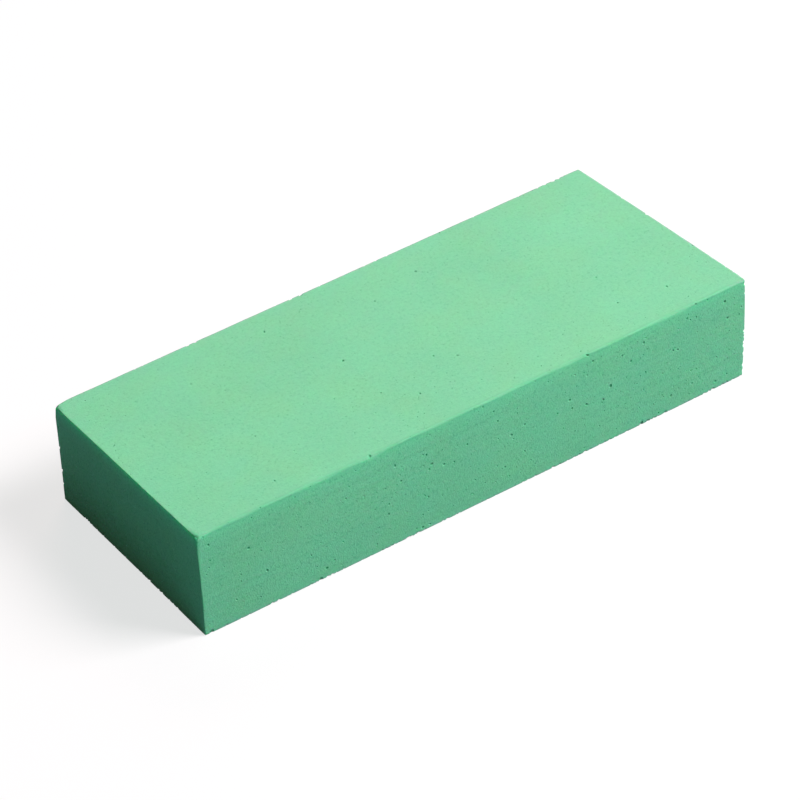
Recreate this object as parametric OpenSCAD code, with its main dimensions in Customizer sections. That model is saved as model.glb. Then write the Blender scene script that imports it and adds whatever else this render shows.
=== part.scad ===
// Floral foam brick: one block of stiff open-cell phenolic foam, wire-cut on all six sides.
// It lies on its largest face, with its length along X, its width along Y and its height
// along Z. The origin is the middle of the face that it rests on.

/* [Block] */
// Length of the block, from end to end
block_length = 170; // [60:1:300]
// Width of the block, from one long side to the other
block_width = 70; // [30:1:150]
// Height of the block, from its base to its top
block_height = 30; // [15:1:120]

/* [Edges] */
// Radius that the four upright edges are rubbed down to
upright_edge_radius = 0.8; // [0.2:0.1:5]
// Radius that the edges round the base and the top are rubbed down to
level_edge_radius = 0.6; // [0.2:0.1:5]

/* [Hidden] */
$fn = 48;
foam_green = "#6fbf94";

// A rectangle about the origin, with its four corners rounded
module rounded_rectangle(length, width, radius) {
    square([length - 2 * radius, width], center = true);
    square([length, width - 2 * radius], center = true);
    for (x = [-1, 1], y = [-1, 1])
        translate([x * (length / 2 - radius), y * (width / 2 - radius)])
            circle(r = radius);
}

// The block seen from above: its upright edges are rounded
module plan() {
    linear_extrude(block_height)
        rounded_rectangle(block_length, block_width, upright_edge_radius);
}

// The block seen from its long side: the level edges of its two ends are rounded
module side_profile() {
    translate([0, block_width / 2, block_height / 2])
        rotate([90, 0, 0])
            linear_extrude(block_width)
                rounded_rectangle(block_length, block_height, level_edge_radius);
}

// The block seen from its end: the level edges of its two long sides are rounded
module end_profile() {
    translate([-block_length / 2, 0, block_height / 2])
        rotate([90, 0, 90])
            linear_extrude(block_length)
                rounded_rectangle(block_width, block_height, level_edge_radius);
}

// The foam block: what all three outlines hold
module foam_brick() {
    color(foam_green)
        intersection() {
            plan();
            side_profile();
            end_profile();
        }
}

foam_brick();
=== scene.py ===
import math

import bpy
from mathutils import Matrix, Vector, noise


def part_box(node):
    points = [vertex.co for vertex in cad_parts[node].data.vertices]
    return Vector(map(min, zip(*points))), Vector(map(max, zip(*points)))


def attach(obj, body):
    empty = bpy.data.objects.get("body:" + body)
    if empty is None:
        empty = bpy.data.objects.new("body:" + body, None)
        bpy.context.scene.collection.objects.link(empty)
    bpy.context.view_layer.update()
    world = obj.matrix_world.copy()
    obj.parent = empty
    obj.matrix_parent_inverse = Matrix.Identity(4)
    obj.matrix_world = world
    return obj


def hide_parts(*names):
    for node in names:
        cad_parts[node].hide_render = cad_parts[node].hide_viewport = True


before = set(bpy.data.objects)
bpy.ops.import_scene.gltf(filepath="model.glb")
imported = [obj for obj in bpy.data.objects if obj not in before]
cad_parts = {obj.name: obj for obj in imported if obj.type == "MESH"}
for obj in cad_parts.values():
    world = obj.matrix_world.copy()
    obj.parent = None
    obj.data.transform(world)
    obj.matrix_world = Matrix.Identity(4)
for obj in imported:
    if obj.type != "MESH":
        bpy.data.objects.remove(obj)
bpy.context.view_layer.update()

# ---------------------------------------------------------------------------------------------
# The camera
# A long lens on a tripod, to the left of the block and well above it, so that the top, the front
# long side and the left end all show. The tripod head leans over by a few degrees.
# ---------------------------------------------------------------------------------------------
MM = 0.001
block_low, block_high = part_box("foam_brick")
block_size = block_high - block_low

camera_azimuth = math.radians(-34.36)  # round to the left of straight in front
camera_elevation = math.radians(36.87)
camera_lean = math.radians(-2.79)
camera_distance = 898.2 * MM
lens_mm = 158.5  # on a sensor 36 mm wide
aim = Vector((-3.88 * MM, -2.99 * MM, block_size.z / 2))

back = Vector((
    math.sin(camera_azimuth) * math.cos(camera_elevation),
    -math.cos(camera_azimuth) * math.cos(camera_elevation),
    math.sin(camera_elevation),
))
camera_data = bpy.data.cameras.new("studio_camera")
camera_data.lens = lens_mm
camera_data.sensor_width = 36.0
camera_data.clip_start = 0.05
camera_data.clip_end = 50.0
camera = bpy.data.objects.new("studio_camera", camera_data)
bpy.context.scene.collection.objects.link(camera)
upright = back.to_track_quat("Z", "Y").to_matrix().to_4x4()
camera.matrix_world = (
    Matrix.Translation(aim + back * camera_distance)
    @ upright
    @ Matrix.Rotation(camera_lean, 4, "Z")
)
bpy.context.scene.camera = camera

# ---------------------------------------------------------------------------------------------
# The studio
# A plain pale floor under two soft lamps. A warm key stands to the right, so the left end of the
# block is in shade. A weak, warmer lamp behind puts a dull sheen on the top. The fill is cool.
# ---------------------------------------------------------------------------------------------


def linear(hex_colour):
    """A colour given in sRGB hex, as linear RGBA."""
    parts = [int(hex_colour[i : i + 2], 16) / 255 for i in (1, 3, 5)]
    return [c / 12.92 if c <= 0.04045 else ((c + 0.055) / 1.055) ** 2.4 for c in parts] + [1.0]


def add(tree, kind, links=None, sockets=None, **settings):
    """Adds a node: its settings, the values of its sockets, and what feeds its sockets."""
    node = tree.nodes.new(kind)
    for name, value in settings.items():
        setattr(node, name, value)
    for key, value in (sockets or {}).items():
        node.inputs[key].default_value = value
    for key, source in (links or {}).items():
        for one in source if isinstance(source, list) else [source]:
            tree.links.new(one, node.inputs[key])
    return node


def new_material(name):
    """An empty node material and its tree."""
    material = bpy.data.materials.new(name)
    material.use_nodes = True
    material.node_tree.nodes.clear()
    return material, material.node_tree


floor_half_width = 4.0
floor_corners = [(-1, -1), (1, -1), (1, 1), (-1, 1)]
floor_mesh = bpy.data.meshes.new("studio_floor")
floor_mesh.from_pydata(
    [(x * floor_half_width, y * floor_half_width, 0) for x, y in floor_corners],
    [],
    [(0, 1, 2, 3)],
)
studio_floor = bpy.data.objects.new("studio_floor", floor_mesh)
bpy.context.scene.collection.objects.link(studio_floor)

# The floor is glowing paper, as on a light table. The camera sees it almost white and its shadows
# faint. What it throws back on the block is no more than a cool grey card with a faint warm glow.
floor_paper, tree = new_material("glowing_white_paper")
grey = add(tree, "ShaderNodeBsdfDiffuse", sockets={"Color": linear("#649298")})
warmth = add(tree, "ShaderNodeEmission", sockets={"Color": linear("#ffa49d"), "Strength": 0.067})
thrown_back = add(tree, "ShaderNodeAddShader", {0: grey.outputs["BSDF"], 1: warmth.outputs["Emission"]})
paper = add(tree, "ShaderNodeBsdfDiffuse", sockets={"Color": linear("#808587")})
glow = add(tree, "ShaderNodeEmission", sockets={"Color": linear("#ffffff"), "Strength": 0.72})
lit_paper = add(tree, "ShaderNodeAddShader", {0: paper.outputs["BSDF"], 1: glow.outputs["Emission"]})
seen = add(tree, "ShaderNodeLightPath").outputs["Is Camera Ray"]
floor_look = add(
    tree,
    "ShaderNodeMixShader",
    {0: seen, 1: thrown_back.outputs["Shader"], 2: lit_paper.outputs["Shader"]},
)
add(tree, "ShaderNodeOutputMaterial", {"Surface": floor_look.outputs["Shader"]})
floor_mesh.materials.append(floor_paper)


def softbox(name, azimuth, elevation, distance, width, watts, colour):
    """A square area light aimed at the block, from that side and height."""
    light = bpy.data.lights.new(name, "AREA")
    light.shape = "SQUARE"
    light.size = width
    light.energy = watts
    light.color = colour
    lamp = bpy.data.objects.new(name, light)
    a, e = math.radians(azimuth), math.radians(elevation)
    toward = Vector((math.sin(a) * math.cos(e), -math.cos(a) * math.cos(e), math.sin(e)))
    lamp.matrix_world = (
        Matrix.Translation(toward * distance) @ toward.to_track_quat("Z", "Y").to_matrix().to_4x4()
    )
    bpy.context.scene.collection.objects.link(lamp)


softbox(
    "key_softbox",
    azimuth=55,
    elevation=44.7,
    distance=2.8,
    width=1.4,
    watts=126,
    colour=(1.17, 1.0, 0.995),
)
softbox(
    "back_softbox",
    azimuth=140,
    elevation=35,
    distance=2.0,
    width=1.0,
    watts=8.1,
    colour=(1.85, 1.0, 0.94),
)

world = bpy.data.worlds.new("studio_room")
world.use_nodes = True
world.node_tree.nodes.clear()
fill = add(
    world.node_tree,
    "ShaderNodeBackground",
    sockets={"Color": linear("#b9ffeb"), "Strength": 0.09},
)
backdrop = add(
    world.node_tree,
    "ShaderNodeBackground",
    sockets={"Color": linear("#ffffff"), "Strength": 0.84},
)
seen = add(world.node_tree, "ShaderNodeLightPath").outputs["Is Camera Ray"]
room = add(
    world.node_tree,
    "ShaderNodeMixShader",
    {0: seen, 1: fill.outputs["Background"], 2: backdrop.outputs["Background"]},
)
add(world.node_tree, "ShaderNodeOutputWorld", {"Surface": room.outputs["Shader"]})
bpy.context.scene.world = world
bpy.context.scene.view_settings.view_transform = "Standard"

# ---------------------------------------------------------------------------------------------
# The foam block
# One block of dry phenolic foam, wire-cut on all six sides. The cuts are up to a millimetre and a
# half out of true. Handling has rubbed the brittle edges and knocked crumbs off them. The wire
# opens every bubble that it passes through, which leaves the pores.
# ---------------------------------------------------------------------------------------------
foam_green = "#6bc39a"
aged_green = "#6ec397"  # where daylight has begun to yellow it
# painted shade: in pores, in torn cell mouths and on the front top edge
shade_green = "#42a078"
dusty_green = "#80b5a2"  # loose foam dust on the rubbed edges
painted_glow_green = "#5cfbb6"  # painted glow: light that creeps in from the lit top, under the top edge

# How far each cut runs out of true, in mm: from low to high along its first and second direction,
# and how far its middle stands proud (or, below zero, is hollow) where the wire bowed.
cuts_mm = {
    "top": (0.0, -0.42, 0.12),
    "front": (0.86, -0.82, 0.55),
    "back": (1.15, 0.43, -0.25),
    "left": (-1.38, -0.32, -0.12),
    "right": (-0.62, 0.86, 0.12),
}
wobble = 0.05 * MM  # how far the wire wanders
wobble_length = 22 * MM
wobble_apart = 7.3  # steps through the noise, so that no two cuts wander alike
rubbed_radius = 0.16 * MM  # of a usual stretch of edge
rubbed_change = 0.12 * MM
rubbed_length = 6 * MM  # from one worn stretch to the next
corner_radius = 0.3 * MM
corner_reach = 1.5 * MM
knocked_corners = [(-1, 1, 1), (-1, -1, 1)]  # both corners of the top at its left end
knocked_radius = 1.0 * MM
knocked_reach = 2.5 * MM
handled_radius = 0.7 * MM  # of the front top edge, which hands rub most
handled_change = 0.4 * MM
handled_reach = 2.0 * MM
handled_from_end = 4.0 * MM  # its two corners stay sharp
dusty_width = 0.45 * MM
wiped_edges = [(-1, 0, 1), (-1, -1, 0)]  # the left end's top edge and its front edge
wiped_reach = 2.5 * MM
# Painted glow: a brighter green under the top edge, for light that creeps in from the lit top. How deep
# it reaches, and how strong it is at the left end and in front.
painted_glow_depth = 1.4 * MM
painted_glow_at_left = 1.0  # the painted glow is strongest on the left end
painted_glow_in_front = 0.33
# Painted shade on the front top edge, which dims the highlight of its rounding: how wide it is, and how
# dark it is at most.
painted_shade_width = 0.8 * MM
painted_shade_share = 0.42
grid_pitch = 2.5 * MM
# How far in from each edge the lattice has its close rows.
edge_rows = [0.0, 0.15 * MM, 0.32 * MM, 0.55 * MM, 0.85 * MM, 1.3 * MM]

half = block_size / 2
middle = Vector((0, 0, half.z))


def stations(half_length):
    """Places along one axis for the lattice: close rows at both ends, even steps between."""
    inner = half_length - edge_rows[-1]
    steps = round(2 * inner / grid_pitch)
    between = [-inner + 2 * inner * i / steps for i in range(1, steps)]
    rows = [half_length - row for row in edge_rows]
    return [-row for row in rows] + between + rows[::-1]


def to_edge(point, sides):
    """How far the point is from where those sides meet, each given as -1, 0 or 1 along its axis."""
    return math.sqrt(sum((half[i] - sides[i] * point[i]) ** 2 for i in range(3) if sides[i]))


def handled(point):
    """How much hands have rubbed the block at that point, from 0 to 1."""
    off_the_corner = 1 - math.exp(-(((half.x - abs(point.x)) / handled_from_end) ** 2))
    return off_the_corner * math.exp(-((to_edge(point, (0, -1, 1)) / handled_reach) ** 2))


def rubbed(point):
    """A point on the sharp box, moved onto the box with rubbed edges and corners."""
    to_corner = math.sqrt(sum((half[i] - abs(point[i])) ** 2 for i in range(3)))
    uneven = noise.noise(point / rubbed_length)
    radius = rubbed_radius + rubbed_change * uneven
    radius += (corner_radius - rubbed_radius) * math.exp(-((to_corner / corner_reach) ** 2))
    radius += (handled_radius - rubbed_radius + handled_change * uneven) * handled(point)
    to_knock = min(to_edge(point, corner) for corner in knocked_corners)
    radius += knocked_radius * math.exp(-((to_knock / knocked_reach) ** 2))
    inner = Vector([max(-half[i] + radius, min(half[i] - radius, point[i])) for i in range(3)])
    return inner + (point - inner).normalized() * radius


def dusty(point):
    """How dusty the block is there, from 0 to 1: along its edges, but not where hands wipe it."""
    off_edge = sorted(half[i] - abs(point[i]) for i in range(3))[1]
    dust = math.exp(-((off_edge / dusty_width) ** 2)) * (1 - handled(point))
    for sides in wiped_edges:
        dust *= 1 - math.exp(-((to_edge(point, sides) / wiped_reach) ** 2))
    return dust


def chipped(point):
    """How likely a crumb is to be missing there, from 0 to 1: right on the dusty edges."""
    return dusty(point) ** 3


def painted_shade(point):
    """How much painted shade there is there: a little, on the front top edge, so that its rounding
    shows no highlight.
    """
    near_edge = math.exp(-((to_edge(point, (0, -1, 1)) / painted_shade_width) ** 2))
    return painted_shade_share * handled(point) * near_edge


def painted_glow(point):
    """How much painted glow there is there, from 0 to 1: below the top edge at the left and in front,
    for light that creeps in from the lit top.
    """
    if point.z > half.z - edge_rows[1]:
        return 0.0
    at_left, in_front = point.x == -half.x, point.y == -half.y
    below_the_rub = 1 - painted_shade(point) / painted_shade_share
    glow_strength = max(painted_glow_at_left * at_left, painted_glow_in_front * in_front * below_the_rub)
    return glow_strength * math.exp(-(half.z - point.z) / painted_glow_depth)


def out_of_true(point):
    """A point of the true block, moved to where the wire really cut."""
    share = Vector([point[i] / half[i] for i in range(3)])
    moved = point.copy()
    for axis, low_cut, high_cut in ((0, "left", "right"), (1, "front", "back"), (2, None, "top")):
        cut = high_cut if share[axis] > 0 else low_cut
        if cut is None:
            continue
        first, second = [i for i in range(3) if i != axis]
        tilt = [c * MM / 2 for c in cuts_mm[cut][:2]]
        inset = sum(abs(t) - t * share[i] for t, i in zip(tilt, (first, second)))
        bow = cuts_mm[cut][2] * MM
        off_middle = (share[first] ** 2 + share[second] ** 2) / 2
        inset += bow * off_middle if bow > 0 else bow * (off_middle - 1)
        drift = noise.noise(point / wobble_length + Vector((axis * wobble_apart, 0, share[axis])))
        inset += wobble * (0.5 + 0.5 * drift)
        moved[axis] -= inset * share[axis]
    return moved


# The skin of the block: a lattice over its six sides, close at the edges. Its marks are stored on
# the mesh by name, for the material and for the pores.
places = [stations(half[i]) for i in range(3)]
last = [len(p) - 1 for p in places]
number_of = {}
vertices, faces = [], []
# Two of the marks are painted light: the glow under the top edge and the shade on the front top edge.
marks = {"dust": (dusty, []), "chips": (chipped, []), "glow_band": (painted_glow, []), "edge_shade": (painted_shade, [])}


def lattice_vertex(index):
    """The number of the vertex at that place in the lattice, made when it is first asked for."""
    if index not in number_of:
        number_of[index] = len(vertices)
        sharp = Vector([places[i][index[i]] for i in range(3)])
        vertices.append(out_of_true(rubbed(sharp)) + middle)
        for how_much, values in marks.values():
            values.append(how_much(sharp))
    return number_of[index]


for axis in range(3):
    u, v = (axis + 1) % 3, (axis + 2) % 3
    for end in (0, last[axis]):
        for i in range(last[u]):
            for j in range(last[v]):
                ring = []
                for di, dj in ((0, 0), (1, 0), (1, 1), (0, 1)):
                    index = [0, 0, 0]
                    index[axis], index[u], index[v] = end, i + di, j + dj
                    ring.append(lattice_vertex(tuple(index)))
                faces.append(ring if end else ring[::-1])

cut_mesh = bpy.data.meshes.new("cut_block")
cut_mesh.from_pydata(vertices, [], faces)
for name, (how_much, values) in marks.items():
    cut_mesh.attributes.new(name, "FLOAT", "POINT").data.foreach_set("value", values)
cut_block = bpy.data.objects.new("cut_block", cut_mesh)
bpy.context.scene.collection.objects.link(cut_block)

# The material: stiff open-cell phenolic foam, wire-cut and dry. It is dull and velvety, because
# the cut cells trap the light, and light creeps a millimetre or so through the thin cell walls,
# which makes the lit edges glow green.
phenolic_foam, tree = new_material("phenolic_foam_wire_cut")
place = add(tree, "ShaderNodeTexCoord").outputs["Object"]
# The green drifts by a few percent: in clouds about 30 mm wide, and in a grain of about a millimetre.
cloud = add(tree, "ShaderNodeTexNoise", {"Vector": place}, {"Scale": 1 / (30 * MM), "Detail": 2.0})
grain = add(tree, "ShaderNodeTexNoise", {"Vector": place}, {"Scale": 1 / (1.1 * MM), "Detail": 2.0})
# The real cells are 0.1 to 0.3 mm wide. They are drawn 0.45 mm wide, so that they show.
cells = add(tree, "ShaderNodeTexVoronoi", {"Vector": place}, {"Scale": 1 / (0.45 * MM)})
# The wire drags long level lines across the upright cuts.
along_wire = add(
    tree,
    "ShaderNodeMapping",
    {"Vector": place},
    {"Scale": (1 / (90 * MM), 1 / (90 * MM), 1 / (1.4 * MM))},
)
wire_lines = add(
    tree,
    "ShaderNodeTexNoise",
    {"Vector": along_wire.outputs["Vector"]},
    {"Scale": 1.0, "Detail": 1.0},
)
# Painted shade: a pore darkens with its depth, and is at its darkest from 0.3 mm down.
depth = add(tree, "ShaderNodeAttribute", attribute_name="pore_depth")
deep = add(
    tree,
    "ShaderNodeMapRange",
    {"Value": depth.outputs["Fac"]},
    {"From Min": 0.04 * MM, "From Max": 0.3 * MM},
)
# Torn cell mouths show as dark specks, which are painted shade. The painted shade of pores and specks
# is weaker on the level cuts, where the light from above reaches into them, and the level cuts have
# less relief, as they are smoother.
specks = add(tree, "ShaderNodeTexNoise", {"Vector": place}, {"Scale": 1 / (0.6 * MM), "Detail": 1.0})
mouths = add(
    tree,
    "ShaderNodeMapRange",
    {"Value": specks.outputs["Fac"]},
    {"From Min": 0.52, "From Max": 0.78, "To Min": 0.0, "To Max": 0.52},
)
level_cut = add(tree, "ShaderNodeAttribute", attribute_name="level_cut")
shade_and_relief_share = add(
    tree,
    "ShaderNodeMapRange",
    {"Value": level_cut.outputs["Fac"]},
    {"To Min": 1.0, "To Max": 0.55},
)
cloud_tone = add(
    tree,
    "ShaderNodeMapRange",
    {"Value": cloud.outputs["Fac"]},
    {"From Min": 0.3, "From Max": 0.7, "To Min": 0.97, "To Max": 1.03},
)
grain_tone = add(
    tree,
    "ShaderNodeMapRange",
    {"Value": grain.outputs["Fac"]},
    {"From Min": 0.3, "From Max": 0.7, "To Min": 0.97, "To Max": 1.03},
)
tone = add(
    tree,
    "ShaderNodeMath",
    {0: cloud_tone.outputs["Result"], 1: grain_tone.outputs["Result"]},
    operation="MULTIPLY",
)
# Daylight has aged it in patches about 12 mm wide.
patches = add(tree, "ShaderNodeTexNoise", {"Vector": place}, {"Scale": 1 / (12 * MM), "Detail": 1.0})
aged = add(
    tree,
    "ShaderNodeMapRange",
    {"Value": patches.outputs["Fac"]},
    {"From Min": 0.4, "From Max": 0.7},
)
base = add(tree, "ShaderNodeMix", {"Factor": aged.outputs["Result"]}, data_type="RGBA")
base.inputs["A"].default_value = linear(foam_green)
base.inputs["B"].default_value = linear(aged_green)
foam = add(
    tree,
    "ShaderNodeVectorMath",
    {0: base.outputs["Result"], "Scale": tone.outputs["Value"]},
    operation="SCALE",
)
dust_on = add(tree, "ShaderNodeAttribute", attribute_name="dust")
# Painted glow under the top edge, mixed into the colour.
glow_band = add(tree, "ShaderNodeAttribute", attribute_name="glow_band")
glow_banded = add(
    tree,
    "ShaderNodeMix",
    {"Factor": glow_band.outputs["Fac"], "A": foam.outputs["Vector"]},
    data_type="RGBA",
)
glow_banded.inputs["B"].default_value = linear(painted_glow_green)
dusted = add(
    tree,
    "ShaderNodeMix",
    {"Factor": dust_on.outputs["Fac"], "A": glow_banded.outputs["Result"]},
    data_type="RGBA",
)
dusted.inputs["B"].default_value = linear(dusty_green)
# Painted shade of the open cells, weaker on the level cuts.
pore_shade = add(
    tree,
    "ShaderNodeMath",
    {0: deep.outputs["Result"], 1: mouths.outputs["Result"]},
    operation="MAXIMUM",
)
pore_shade_seen = add(
    tree,
    "ShaderNodeMath",
    {0: pore_shade.outputs["Value"], 1: shade_and_relief_share.outputs["Result"]},
    operation="MULTIPLY",
)
# Painted shade on the front top edge, in the same shade colour as the pores.
edge_shade = add(tree, "ShaderNodeAttribute", attribute_name="edge_shade")
darkened = add(
    tree,
    "ShaderNodeMath",
    {0: pore_shade_seen.outputs["Value"], 1: edge_shade.outputs["Fac"]},
    operation="MAXIMUM",
)
colour = add(
    tree,
    "ShaderNodeMix",
    {"Factor": darkened.outputs["Value"], "A": dusted.outputs["Result"]},
    data_type="RGBA",
)
colour.inputs["B"].default_value = linear(shade_green)
relief = add(
    tree,
    "ShaderNodeMath",
    {0: wire_lines.outputs["Fac"], 2: cells.outputs["Distance"]},
    {1: 3.0},
    operation="MULTIPLY_ADD",
)
height = add(
    tree,
    "ShaderNodeMath",
    {0: relief.outputs["Value"], 1: shade_and_relief_share.outputs["Result"]},
    operation="MULTIPLY",
)
bump = add(
    tree,
    "ShaderNodeBump",
    {"Height": height.outputs["Value"]},
    {"Strength": 1.0, "Distance": 0.04 * MM},
)
surface = add(
    tree,
    "ShaderNodeBsdfPrincipled",
    {"Base Color": colour.outputs["Result"], "Normal": bump.outputs["Normal"]},
    {
        "Roughness": 0.65,
        "Specular IOR Level": 0.5,
        "Subsurface Weight": 1.0,
        "Subsurface Radius": (0.3, 1.0, 0.6),
        "Subsurface Scale": 0.8 * MM,
    },
)
add(tree, "ShaderNodeOutputMaterial", {"Surface": surface.outputs["BSDF"]})

# The pores: a tree that scatters bubbles over the cut faces and cuts them out of the block.
pores = bpy.data.node_groups.new("open_pores", "GeometryNodeTree")
pores.interface.new_socket("Geometry", in_out="INPUT", socket_type="NodeSocketGeometry")
few_large_power = 2.2
socket_of = {}
for name, kind, value in (
    ("Void density", "Float", 0.042 / MM**2),
    ("Void smallest", "Float", 0.42 * MM),
    ("Void largest", "Float", 0.95 * MM),
    ("Pinhole density", "Float", 0.24 / MM**2),
    ("Pinhole smallest", "Float", 0.22 * MM),
    ("Pinhole largest", "Float", 0.42 * MM),
    ("Void share on level cuts", "Float", 0.13),
    ("Pinhole share on level cuts", "Float", 0.6),
    ("Share on end cuts", "Float", 0.12),
    ("Nick density", "Float", 4.0 / MM**2),
    ("Nick smallest", "Float", 0.9 * MM),
    ("Nick largest", "Float", 2.0 * MM),
    ("Sharp angle", "Float", math.radians(30)),
    ("Seed", "Int", 4),
    ("Foam", "Material", phenolic_foam),
):
    socket = pores.interface.new_socket(name, in_out="INPUT", socket_type=f"NodeSocket{kind}")
    socket_of[name] = (socket.identifier, value)
pores.interface.new_socket("Geometry", in_out="OUTPUT", socket_type="NodeSocketGeometry")
given = add(pores, "NodeGroupInput").outputs
uncut = given["Geometry"]
normal = add(pores, "GeometryNodeInputNormal").outputs["Normal"]
facing = add(pores, "ShaderNodeSeparateXYZ", {"Vector": normal})
level = add(pores, "ShaderNodeMath", {0: facing.outputs["Z"]}, operation="ABSOLUTE").outputs["Value"]
endwise = add(pores, "ShaderNodeMath", {0: facing.outputs["X"]}, operation="ABSOLUTE").outputs["Value"]
marked_on_cut = {
    name: add(pores, "GeometryNodeInputNamedAttribute", sockets={"Name": name}).outputs["Attribute"]
    for name in marks
}


def bubbles(size_name, facets, seed_step, crowding, sunk_by):
    """Lumpy balls over the cut faces, most of them small, sunk in by a share of their radius."""
    position = add(pores, "GeometryNodeInputPosition").outputs["Position"]
    seed = add(pores, "FunctionNodeIntegerMath", {0: given["Seed"]}, {1: seed_step}, operation="ADD")
    spread = add(
        pores,
        "GeometryNodeDistributePointsOnFaces",
        {
            "Mesh": uncut,
            "Distance Min": given[f"{size_name} smallest"],
            "Density Max": given[f"{size_name} density"],
            "Density Factor": crowding,
            "Seed": seed.outputs["Value"],
        },
        distribute_method="POISSON",
    )
    ball = add(pores, "GeometryNodeMeshIcoSphere", sockets={"Radius": 1.0, "Subdivisions": facets})
    lumps = add(pores, "ShaderNodeTexNoise", {"Vector": position}, {"Scale": 0.9, "Detail": 0.0})
    swell = add(
        pores,
        "ShaderNodeMapRange",
        {"Value": lumps.outputs["Fac"]},
        {"From Min": 0.3, "From Max": 0.7, "To Min": 0.8, "To Max": 1.15},
    )
    lumpy = add(
        pores,
        "GeometryNodeSetPosition",
        {
            "Geometry": ball.outputs["Mesh"],
            "Position": add(
                pores,
                "ShaderNodeVectorMath",
                {0: position, "Scale": swell.outputs["Result"]},
                operation="SCALE",
            ).outputs["Vector"],
        },
    )
    chance = add(pores, "FunctionNodeRandomValue", {"Seed": seed.outputs["Value"]}, data_type="FLOAT")
    rare = add(
        pores,
        "ShaderNodeMath",
        {0: chance.outputs[1]},
        {1: few_large_power},
        operation="POWER",
    )
    width = add(
        pores,
        "ShaderNodeMapRange",
        {
            "Value": rare.outputs["Value"],
            "To Min": given[f"{size_name} smallest"],
            "To Max": given[f"{size_name} largest"],
        },
    )
    radius = add(pores, "ShaderNodeMath", {0: width.outputs["Result"]}, {1: 0.5}, operation="MULTIPLY")
    stretch = add(
        pores,
        "FunctionNodeRandomValue",
        {"Seed": seed.outputs["Value"]},
        {0: (0.8, 0.8, 0.8), 1: (1.2, 1.2, 1.2)},
        data_type="FLOAT_VECTOR",
    )
    scale = add(
        pores,
        "ShaderNodeVectorMath",
        {0: stretch.outputs[0], "Scale": radius.outputs["Value"]},
        operation="SCALE",
    )
    turn = add(
        pores,
        "FunctionNodeRandomValue",
        {"Seed": seed.outputs["Value"]},
        {0: (0, 0, 0), 1: (math.tau, math.tau, math.tau)},
        data_type="FLOAT_VECTOR",
    )
    turned = add(pores, "FunctionNodeEulerToRotation", {0: turn.outputs[0]})
    inward = add(
        pores,
        "ShaderNodeMath",
        {0: radius.outputs["Value"]},
        {1: -sunk_by},
        operation="MULTIPLY",
    )
    sunk = add(
        pores,
        "GeometryNodeSetPosition",
        {
            "Geometry": spread.outputs["Points"],
            "Offset": add(
                pores,
                "ShaderNodeVectorMath",
                {0: spread.outputs["Normal"], "Scale": inward.outputs["Value"]},
                operation="SCALE",
            ).outputs["Vector"],
        },
    )
    return add(
        pores,
        "GeometryNodeInstanceOnPoints",
        {
            "Points": sunk.outputs["Geometry"],
            "Instance": lumpy.outputs["Geometry"],
            "Rotation": turned.outputs["Rotation"],
            "Scale": scale.outputs["Vector"],
        },
    ).outputs["Instances"]


def swarms(size_name, swarm_size):
    """How crowded the bubbles are from place to place: they come in loose swarms."""
    swarm = add(pores, "ShaderNodeTexNoise", sockets={"Scale": 1 / swarm_size, "Detail": 1.0})
    crowding = add(
        pores,
        "ShaderNodeMapRange",
        {"Value": swarm.outputs["Fac"]},
        {"From Min": 0.35, "From Max": 0.65, "To Min": 0.3, "To Max": 1.0},
    )
    level_share, end_share = f"{size_name} share on level cuts", "Share on end cuts"
    for turned_so, share_name in ((level, level_share), (endwise, end_share)):
        share = add(
            pores,
            "ShaderNodeMapRange",
            {"Value": turned_so, "To Max": given[share_name]},
            {"To Min": 1.0},
        )
        crowding = add(
            pores,
            "ShaderNodeMath",
            {0: crowding.outputs[0], 1: share.outputs[0]},
            operation="MULTIPLY",
        )
    return crowding.outputs[0]


# The nicks come first, because a pore's depth is measured from the nicked block. The cuts drop what
# was marked on the block, so each mark is read off the uncut block and stored again.
nicks = bubbles("Nick", facets=1, seed_step=90, crowding=marked_on_cut["chips"], sunk_by=-0.4)
nicked = add(
    pores,
    "GeometryNodeMeshBoolean",
    {"Mesh 1": uncut, "Mesh 2": nicks},
    operation="DIFFERENCE",
    solver="MANIFOLD",
).outputs["Mesh"]
voids = bubbles("Void", facets=2, seed_step=0, crowding=swarms("Void", 18 * MM), sunk_by=-0.25)
pinholes = bubbles("Pinhole", facets=1, seed_step=50, crowding=swarms("Pinhole", 12 * MM), sunk_by=0.05)
marked = add(
    pores,
    "GeometryNodeMeshBoolean",
    {"Mesh 1": nicked, "Mesh 2": [voids, pinholes]},
    operation="DIFFERENCE",
    solver="MANIFOLD",
).outputs["Mesh"]
near = add(pores, "GeometryNodeProximity", {"Target": nicked}, target_element="FACES")
depth_of_pore = near.outputs["Distance"]
wanted = {"pore_depth": depth_of_pore, "level_cut": level}
for name in ("dust", "glow_band", "edge_shade"):
    wanted[name] = marked_on_cut[name]
for name, value in wanted.items():
    if value is not depth_of_pore:
        sample = add(pores, "GeometryNodeSampleNearestSurface", {"Mesh": uncut, "Value": value})
        value = sample.outputs["Value"]
    marked = add(
        pores,
        "GeometryNodeStoreNamedAttribute",
        {"Geometry": marked, "Value": value},
        {"Name": name},
        data_type="FLOAT",
        domain="POINT",
    ).outputs["Geometry"]
smooth = add(
    pores,
    "GeometryNodeSetShadeSmooth",
    {"Geometry": marked},
    {"Shade Smooth": True},
    domain="FACE",
)
angle = add(pores, "GeometryNodeInputMeshEdgeAngle")
steep = add(
    pores,
    "FunctionNodeCompare",
    {0: angle.outputs["Unsigned Angle"], 1: given["Sharp angle"]},
    data_type="FLOAT",
    operation="GREATER_THAN",
)
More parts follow.
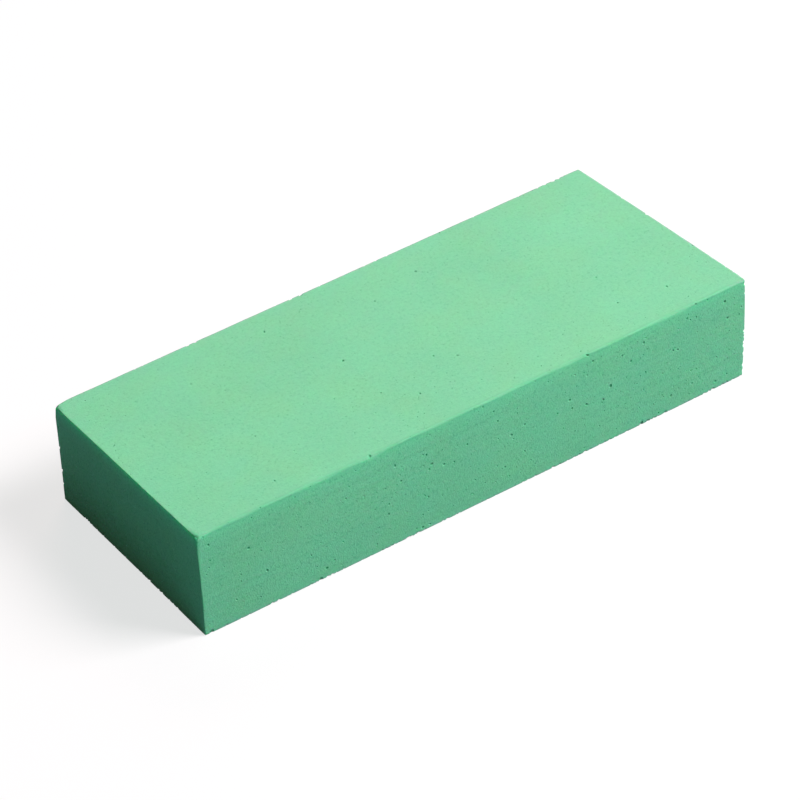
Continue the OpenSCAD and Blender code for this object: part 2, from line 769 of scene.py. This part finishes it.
creased = add(
    pores,
    "GeometryNodeSetShadeSmooth",
    {"Geometry": smooth.outputs["Geometry"], "Selection": steep.outputs["Result"]},
    {"Shade Smooth": False},
    domain="EDGE",
)
whole = add(pores, "GeometryNodeRealizeInstances", {"Geometry": creased.outputs["Geometry"]})
painted = add(
    pores,
    "GeometryNodeSetMaterial",
    {"Geometry": whole.outputs["Geometry"], "Material": given["Foam"]},
)
add(pores, "NodeGroupOutput", {"Geometry": painted.outputs["Geometry"]})

cut_mesh.materials.append(phenolic_foam)
cutter = cut_block.modifiers.new("open_pores", "NODES")
cutter.node_group = pores
for identifier, value in socket_of.values():
    cutter[identifier] = value

evaluated = cut_block.evaluated_get(bpy.context.evaluated_depsgraph_get())
foam_mesh = bpy.data.meshes.new_from_object(evaluated)
foam_mesh.name = "foam_block"
foam_block = bpy.data.objects.new("foam_block", foam_mesh)
bpy.context.scene.collection.objects.link(foam_block)
bpy.data.objects.remove(cut_block)

# The map for a baked copy: each of the six sides is laid flat, one beside the other. For each side,
# named by its axis and direction: the axes that run across and up the map, and where it starts.
gap = 1.5 * MM
side_places = {
    (2, 1): (0, 1, 0.0, 0.0),
    (2, -1): (0, 1, 0.0, block_size.y + gap),
    (0, -1): (2, 1, block_size.x + gap, 0.0),
    (0, 1): (2, 1, block_size.x + gap, block_size.y + gap),
    (1, -1): (0, 2, 0.0, 2 * (block_size.y + gap)),
    (1, 1): (0, 2, 0.0, 2 * (block_size.y + gap) + block_size.z + gap),
}
map_width = 2 * (block_size.y + block_size.z) + 5 * gap
bake_map = foam_mesh.uv_layers.new(name="OFBake")
for face in foam_mesh.polygons:
    centre = face.center - middle
    axis, sign = min(side_places, key=lambda side: half[side[0]] - side[1] * centre[side[0]])
    across, up, left, bottom = side_places[axis, sign]
    for loop in face.loop_indices:
        point = foam_mesh.vertices[foam_mesh.loops[loop].vertex_index].co - middle
        bake_map.data[loop].uv = (
            (gap + left + half[across] + point[across]) / map_width,
            (gap + bottom + half[up] + point[up]) / map_width,
        )

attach(foam_block, "root")
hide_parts("foam_brick")
